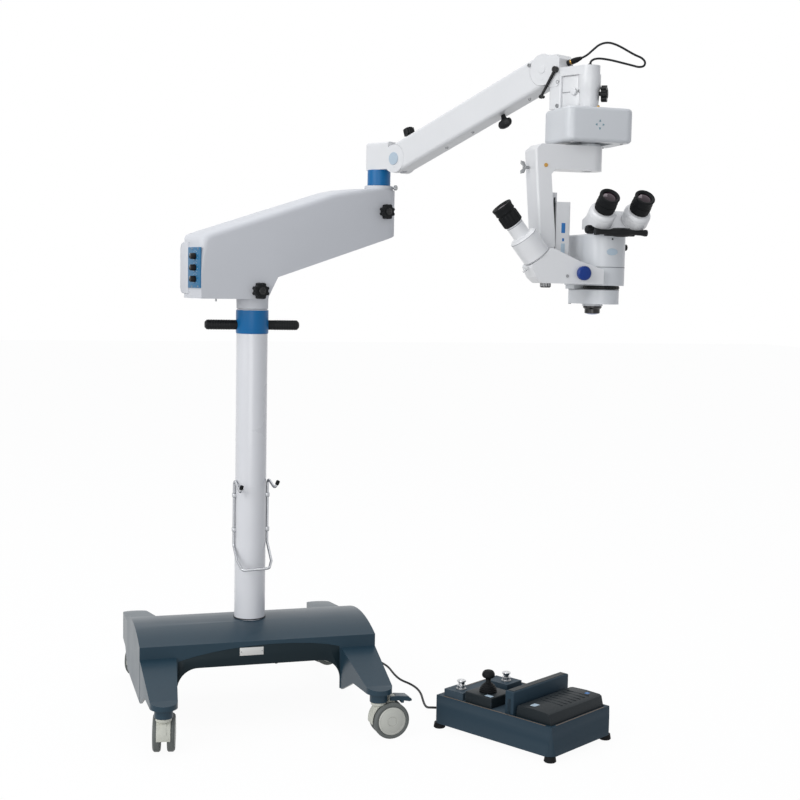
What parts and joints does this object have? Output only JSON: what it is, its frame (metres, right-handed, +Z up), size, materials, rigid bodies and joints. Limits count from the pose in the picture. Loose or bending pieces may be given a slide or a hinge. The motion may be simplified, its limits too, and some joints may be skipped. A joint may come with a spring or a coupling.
{
  "type": "surgical microscope",
  "caption": "Operating microscope on a castor stand, with a spring-balanced arm, cross slides, inclined binocular, assistant's eyepiece and a separate foot control.",
  "frame": {"origin": "on the floor, where the column's axis meets it", "axes": "+Z up along the column; X along the base's long bar, +X towards the foot control; -Y to the front, where the eyepieces face"},
  "size_m": [1.1195, 1.1883, 1.6803],
  "materials": {
    "slate_paint": "satin",
    "cast_base": "rough",
    "column_paint": "gloss",
    "blue_paint": "satin",
    "black_plastic": "satin",
    "steel_wire": "polished",
    "castor_cream": "satin",
    "castor_tyre": "matt",
    "castor_lever": "satin",
    "white_moulding": "satin",
    "blue_plastic": "satin",
    "white_metal": "satin paint",
    "inner_steel": "brushed",
    "black_metal": "anodised",
    "control_blue": "satin",
    "cable_rubber": "matt",
    "button_steel": "polished",
    "joystick_black": "matt"
  },
  "bodies": {
    "base": {"base_cover": "slate_paint", "base_frame": "cast_base", "column_tube": "column_paint", "column_collar": "blue_paint", "push_handles": "black_plastic", "pedal_hanger": "steel_wire", "foot_control_box": "control_blue", "foot_cable": "cable_rubber", "foot_cable_coil": "cable_rubber"},
    "castor_front_left": {"castor_housing_front_left": "castor_cream"},
    "wheels_front_left": {"castor_wheels_front_left": "castor_tyre"},
    "brake_front_left": {"castor_brake_front_left": "castor_lever"},
    "castor_front_right": {"castor_housing_front_right": "castor_cream"},
    "wheels_front_right": {"castor_wheels_front_right": "castor_tyre"},
    "brake_front_right": {"castor_brake_front_right": "castor_lever"},
    "castor_rear_left": {"castor_housing_rear_left": "castor_cream"},
    "wheels_rear_left": {"castor_wheels_rear_left": "castor_tyre"},
    "brake_rear_left": {"castor_brake_rear_left": "castor_lever"},
    "castor_rear_right": {"castor_housing_rear_right": "castor_cream"},
    "wheels_rear_right": {"castor_wheels_rear_right": "castor_tyre"},
    "brake_rear_right": {"castor_brake_rear_right": "castor_lever"},
    "lower_arm": {"lower_arm_housing": "white_moulding", "control_panel": "blue_plastic"},
    "panel_knob_top": {"panel_knob_top": "black_plastic"},
    "panel_knob_middle": {"panel_knob_middle": "black_plastic"},
    "panel_knob_bottom": {"panel_knob_bottom": "black_plastic"},
    "arm_lock_knob": {"arm_lock_knob": "black_plastic"},
    "post_lock_knob": {"post_lock_knob": "black_plastic"},
    "yoke": {"swivel_post": "blue_paint", "arm_yoke": "white_metal"},
    "spring_arm": {"arm_cover": "white_metal", "balance_spring": "inner_steel"},
    "lower_link": {"lower_link": "inner_steel"},
    "height_lock_knob": {"height_lock_knob": "black_plastic"},
    "tension_knob": {"tension_knob": "black_plastic"},
    "arm_end": {"arm_end_head": "white_metal", "head_cable": "cable_rubber"},
    "clamp_lever": {"clamp_lever": "black_metal"},
    "head_lock_knob": {"head_lock_knob": "black_plastic"},
    "head": {"xy_housing": "white_metal"},
    "cross_carriage": {"xy_cross_carriage": "inner_steel"},
    "lower_plate": {"xy_lower_plate": "inner_steel"},
    "focus_arm": {"focus_arm": "white_metal"},
    "focus_carriage": {"focus_carriage": "white_metal"},
    "scope": {"optics_body": "white_metal", "objective": "black_metal", "binocular_housing": "white_metal", "assistant_tube": "white_metal"},
    "tilt_knob": {"tilt_knob": "blue_plastic"},
    "magnification_knob": {"magnification_knob": "black_plastic"},
    "pd_knobs": {"pd_knobs": "black_plastic"},
    "eyepiece_left": {"eyepiece_left": "black_plastic"},
    "eyepiece_right": {"eyepiece_right": "black_plastic"},
    "assistant_eyepiece": {"assistant_eyepiece": "black_plastic"},
    "joystick_gimbal": {"joystick_gimbal": "inner_steel"},
    "joystick": {"joystick": "joystick_black"},
    "pedal_right": {"pedal_right": "control_blue"},
    "pedal_left": {"pedal_left": "control_blue"},
    "foot_button_left": {"foot_button_left": "button_steel"},
    "foot_button_right": {"foot_button_right": "button_steel"}
  },
  "joints": [
    {"name": "castor_swivel_front_left", "type": "hinge", "parent": "base", "child": "castor_front_left", "pos_m": [-0.262, -0.322, 0.091], "axis": [0, 0, 1], "continuous": true},
    {"name": "castor_roll_front_left", "type": "hinge", "parent": "castor_front_left", "child": "wheels_front_left", "pos_m": [-0.25714, -0.29442, 0.045], "axis": [-0.9848, 0.1736, 0], "continuous": true},
    {"name": "castor_brake_front_left", "type": "hinge", "parent": "castor_front_left", "child": "brake_front_left", "pos_m": [-0.25662, -0.29147, 0.098], "axis": [-0.9848, 0.1736, 0], "range_deg": [0, 5]},
    {"name": "castor_swivel_front_right", "type": "hinge", "parent": "base", "child": "castor_front_right", "pos_m": [0.262, -0.322, 0.091], "axis": [0, 0, 1], "continuous": true},
    {"name": "castor_roll_front_right", "type": "hinge", "parent": "castor_front_right", "child": "wheels_front_right", "pos_m": [0.28998, -0.32102, 0.045], "axis": [-0.0349, 0.9994, 0], "continuous": true},
    {"name": "castor_brake_front_right", "type": "hinge", "parent": "castor_front_right", "child": "brake_front_right", "pos_m": [0.29298, -0.32092, 0.098], "axis": [-0.0349, 0.9994, 0], "range_deg": [0, 5]},
    {"name": "castor_swivel_rear_left", "type": "hinge", "parent": "base", "child": "castor_rear_left", "pos_m": [-0.262, 0.322, 0.091], "axis": [0, 0, 1], "continuous": true},
    {"name": "castor_roll_rear_left", "type": "hinge", "parent": "castor_rear_left", "child": "wheels_rear_left", "pos_m": [-0.248, 0.34625, 0.045], "axis": [-0.866, 0.5, 0], "continuous": true},
    {"name": "castor_brake_rear_left", "type": "hinge", "parent": "castor_rear_left", "child": "brake_rear_left", "pos_m": [-0.2465, 0.34885, 0.098], "axis": [-0.866, 0.5, 0], "range_deg": [0, 5]},
    {"name": "castor_swivel_rear_right", "type": "hinge", "parent": "base", "child": "castor_rear_right", "pos_m": [0.262, 0.322, 0.091], "axis": [0, 0, 1], "continuous": true},
    {"name": "castor_roll_rear_right", "type": "hinge", "parent": "castor_rear_right", "child": "wheels_rear_right", "pos_m": [0.28831, 0.33158, 0.045], "axis": [-0.342, 0.9397, 0], "continuous": true},
    {"name": "castor_brake_rear_right", "type": "hinge", "parent": "castor_rear_right", "child": "brake_rear_right", "pos_m": [0.29113, 0.3326, 0.098], "axis": [-0.342, 0.9397, 0], "range_deg": [0, 5]},
    {"name": "lower_arm_swing", "type": "hinge", "parent": "base", "child": "lower_arm", "pos_m": [0, 0, 1.1], "axis": [0, 0, 1], "range_deg": [-150, 150]},
    {"name": "panel_turn_top", "type": "hinge", "parent": "lower_arm", "child": "panel_knob_top", "pos_m": [-0.15953, -0.08119, 1.171], "axis": [-0.9563, -0.2924, 0], "range_deg": [-270, 0]},
    {"name": "panel_turn_middle", "type": "hinge", "parent": "lower_arm", "child": "panel_knob_middle", "pos_m": [-0.15953, -0.08119, 1.143], "axis": [-0.9563, -0.2924, 0], "range_deg": [-270, 0]},
    {"name": "panel_turn_bottom", "type": "hinge", "parent": "lower_arm", "child": "panel_knob_bottom", "pos_m": [-0.15953, -0.08119, 1.115], "axis": [-0.9563, -0.2924, 0], "range_deg": [-270, 0]},
    {"name": "arm_lock_turn", "type": "hinge", "parent": "lower_arm", "child": "arm_lock_knob", "pos_m": [0.00601, -0.06069, 1.088], "axis": [0.2924, -0.9563, 0], "range_deg": [-90, 90]},
    {"name": "post_lock_turn", "type": "hinge", "parent": "lower_arm", "child": "post_lock_knob", "pos_m": [0.37087, 0.06612, 1.303], "axis": [0.2924, -0.9563, 0], "range_deg": [-90, 90]},
    {"name": "arm_post_swing", "type": "hinge", "parent": "lower_arm", "child": "yoke", "pos_m": [0.3634, 0.1111, 1.373], "axis": [0, 0, 1], "range_deg": [-60, 150]},
    {"name": "spring_arm_lift", "type": "hinge", "parent": "yoke", "child": "spring_arm", "pos_m": [0.40151, 0.0385, 1.441], "axis": [-0.8854, -0.4648, 0], "range_deg": [-30, 25]},
    {"name": "lower_link_swing", "type": "hinge", "parent": "yoke", "child": "lower_link", "pos_m": [0.40151, 0.0385, 1.42], "axis": [-0.8854, -0.4648, 0], "range_deg": [-30, 25]},
    {"name": "height_lock_turn", "type": "hinge", "parent": "spring_arm", "child": "height_lock_knob", "pos_m": [0.41661, 0.00975, 1.50335], "axis": [-0.1605, 0.3057, 0.9385], "range_deg": [-90, 90]},
    {"name": "tension_turn", "type": "hinge", "parent": "spring_arm", "child": "tension_knob", "pos_m": [0.56753, -0.27772, 1.52734], "axis": [0.1605, -0.3057, -0.9385], "range_deg": [-180, 180]},
    {"name": "arm_end_level", "type": "hinge", "parent": "spring_arm", "child": "arm_end", "pos_m": [0.63273, -0.4019, 1.62401], "axis": [-0.8854, -0.4648, 0], "range_deg": [-25, 30]},
    {"name": "clamp_lever_turn", "type": "hinge", "parent": "arm_end", "child": "clamp_lever", "pos_m": [0.62989, -0.45308, 1.62001], "axis": [0.8854, 0.4648, 0], "range_deg": [-40, 40]},
    {"name": "head_lock_turn", "type": "hinge", "parent": "arm_end", "child": "head_lock_knob", "pos_m": [0.71336, -0.52504, 1.56001], "axis": [0.8453, -0.5344, 0], "range_deg": [-90, 90]},
    {"name": "head_swing", "type": "hinge", "parent": "arm_end", "child": "head", "pos_m": [0.68944, -0.50992, 1.56401], "axis": [0, 0, 1], "range_deg": [-170, 170]},
    {"name": "cross_slide_x", "type": "slide", "parent": "head", "child": "cross_carriage", "axis": [1, 0, 0], "range_m": [-0.022, 0.022]},
    {"name": "cross_slide_y", "type": "slide", "parent": "cross_carriage", "child": "lower_plate", "axis": [0, 1, 0], "range_m": [-0.022, 0.022]},
    {"name": "focus_arm_swing", "type": "hinge", "parent": "lower_plate", "child": "focus_arm", "pos_m": [0.68944, -0.50992, 1.41401], "axis": [0, 0, 1], "range_deg": [-120, 120]},
    {"name": "focus_slide", "type": "slide", "parent": "focus_arm", "child": "focus_carriage", "axis": [0, 0, 1], "range_m": [-0.02, 0.02]},
    {"name": "scope_tilt", "type": "hinge", "parent": "focus_carriage", "child": "scope", "pos_m": [0.63644, -0.50992, 1.14501], "axis": [0, 1, 0], "range_deg": [-10, 30]},
    {"name": "tilt_knob_turn", "type": "hinge", "parent": "focus_carriage", "child": "tilt_knob", "pos_m": [0.63644, -0.62191, 1.14501], "axis": [0, 1, 0], "range_deg": [-90, 90]},
    {"name": "magnification_turn", "type": "hinge", "parent": "scope", "child": "magnification_knob", "pos_m": [0.71444, -0.55492, 1.11401], "axis": [0, 0, 1], "range_deg": [0, 270]},
    {"name": "eye_spacing_turn", "type": "hinge", "parent": "scope", "child": "pd_knobs", "pos_m": [0.71444, -0.61191, 1.24401], "axis": [1, 0, 0], "range_deg": [0, 180]},
    {"name": "eyepiece_slide_left", "type": "slide", "parent": "scope", "child": "eyepiece_left", "axis": [1, 0, 0], "range_m": [0, 0.011]},
    {"name": "eyepiece_slide_right", "type": "slide", "parent": "scope", "child": "eyepiece_right", "axis": [-1, 0, 0], "range_m": [0, 0.011]},
    {"name": "assistant_focus_turn", "type": "hinge", "parent": "scope", "child": "assistant_eyepiece", "pos_m": [0.53644, -0.58991, 1.18101], "axis": [-0.6293, 0, 0.7771], "range_deg": [-120, 120]},
    {"name": "joystick_tilt_y", "type": "hinge", "parent": "base", "child": "joystick_gimbal", "pos_m": [0.53057, -0.36974, 0.08], "axis": [0.8616, 0.5075, 0], "range_deg": [-10, 10], "stiffness_Nm_per_rad": 1},
    {"name": "joystick_tilt_x", "type": "hinge", "parent": "joystick_gimbal", "child": "joystick", "pos_m": [0.53057, -0.36974, 0.08], "axis": [0.5075, -0.8616, 0], "range_deg": [-10, 10], "stiffness_Nm_per_rad": 1},
    {"name": "pedal_rock_right", "type": "hinge", "parent": "base", "child": "pedal_right", "pos_m": [0.67737, -0.47709, 0.07], "axis": [0.8616, 0.5075, 0], "range_deg": [-5, 5], "stiffness_Nm_per_rad": 12},
    {"name": "pedal_rock_left", "type": "hinge", "parent": "base", "child": "pedal_left", "pos_m": [0.61545, -0.37197, 0.072], "axis": [0.8616, 0.5075, 0], "range_deg": [-5, 5], "stiffness_Nm_per_rad": 6},
    {"name": "foot_button_press_left", "type": "slide", "parent": "base", "child": "foot_button_left", "axis": [0, 0, -1], "range_m": [0, 0.006], "stiffness_N_per_m": 600, "springref_m": -0.004},
    {"name": "foot_button_press_right", "type": "slide", "parent": "base", "child": "foot_button_right", "axis": [0, 0, -1], "range_m": [0, 0.006], "stiffness_N_per_m": 600, "springref_m": -0.004}
  ],
  "couplings": [
    {"joint": "lower_link_swing", "follows": "spring_arm_lift", "ratio": 1},
    {"joint": "arm_end_level", "follows": "spring_arm_lift", "ratio": -1},
    {"joint": "eye_spacing_turn", "follows": "eyepiece_slide_left", "rad_per_m": 285.6},
    {"joint": "eyepiece_slide_right", "follows": "eyepiece_slide_left", "ratio": 1}
  ]
}
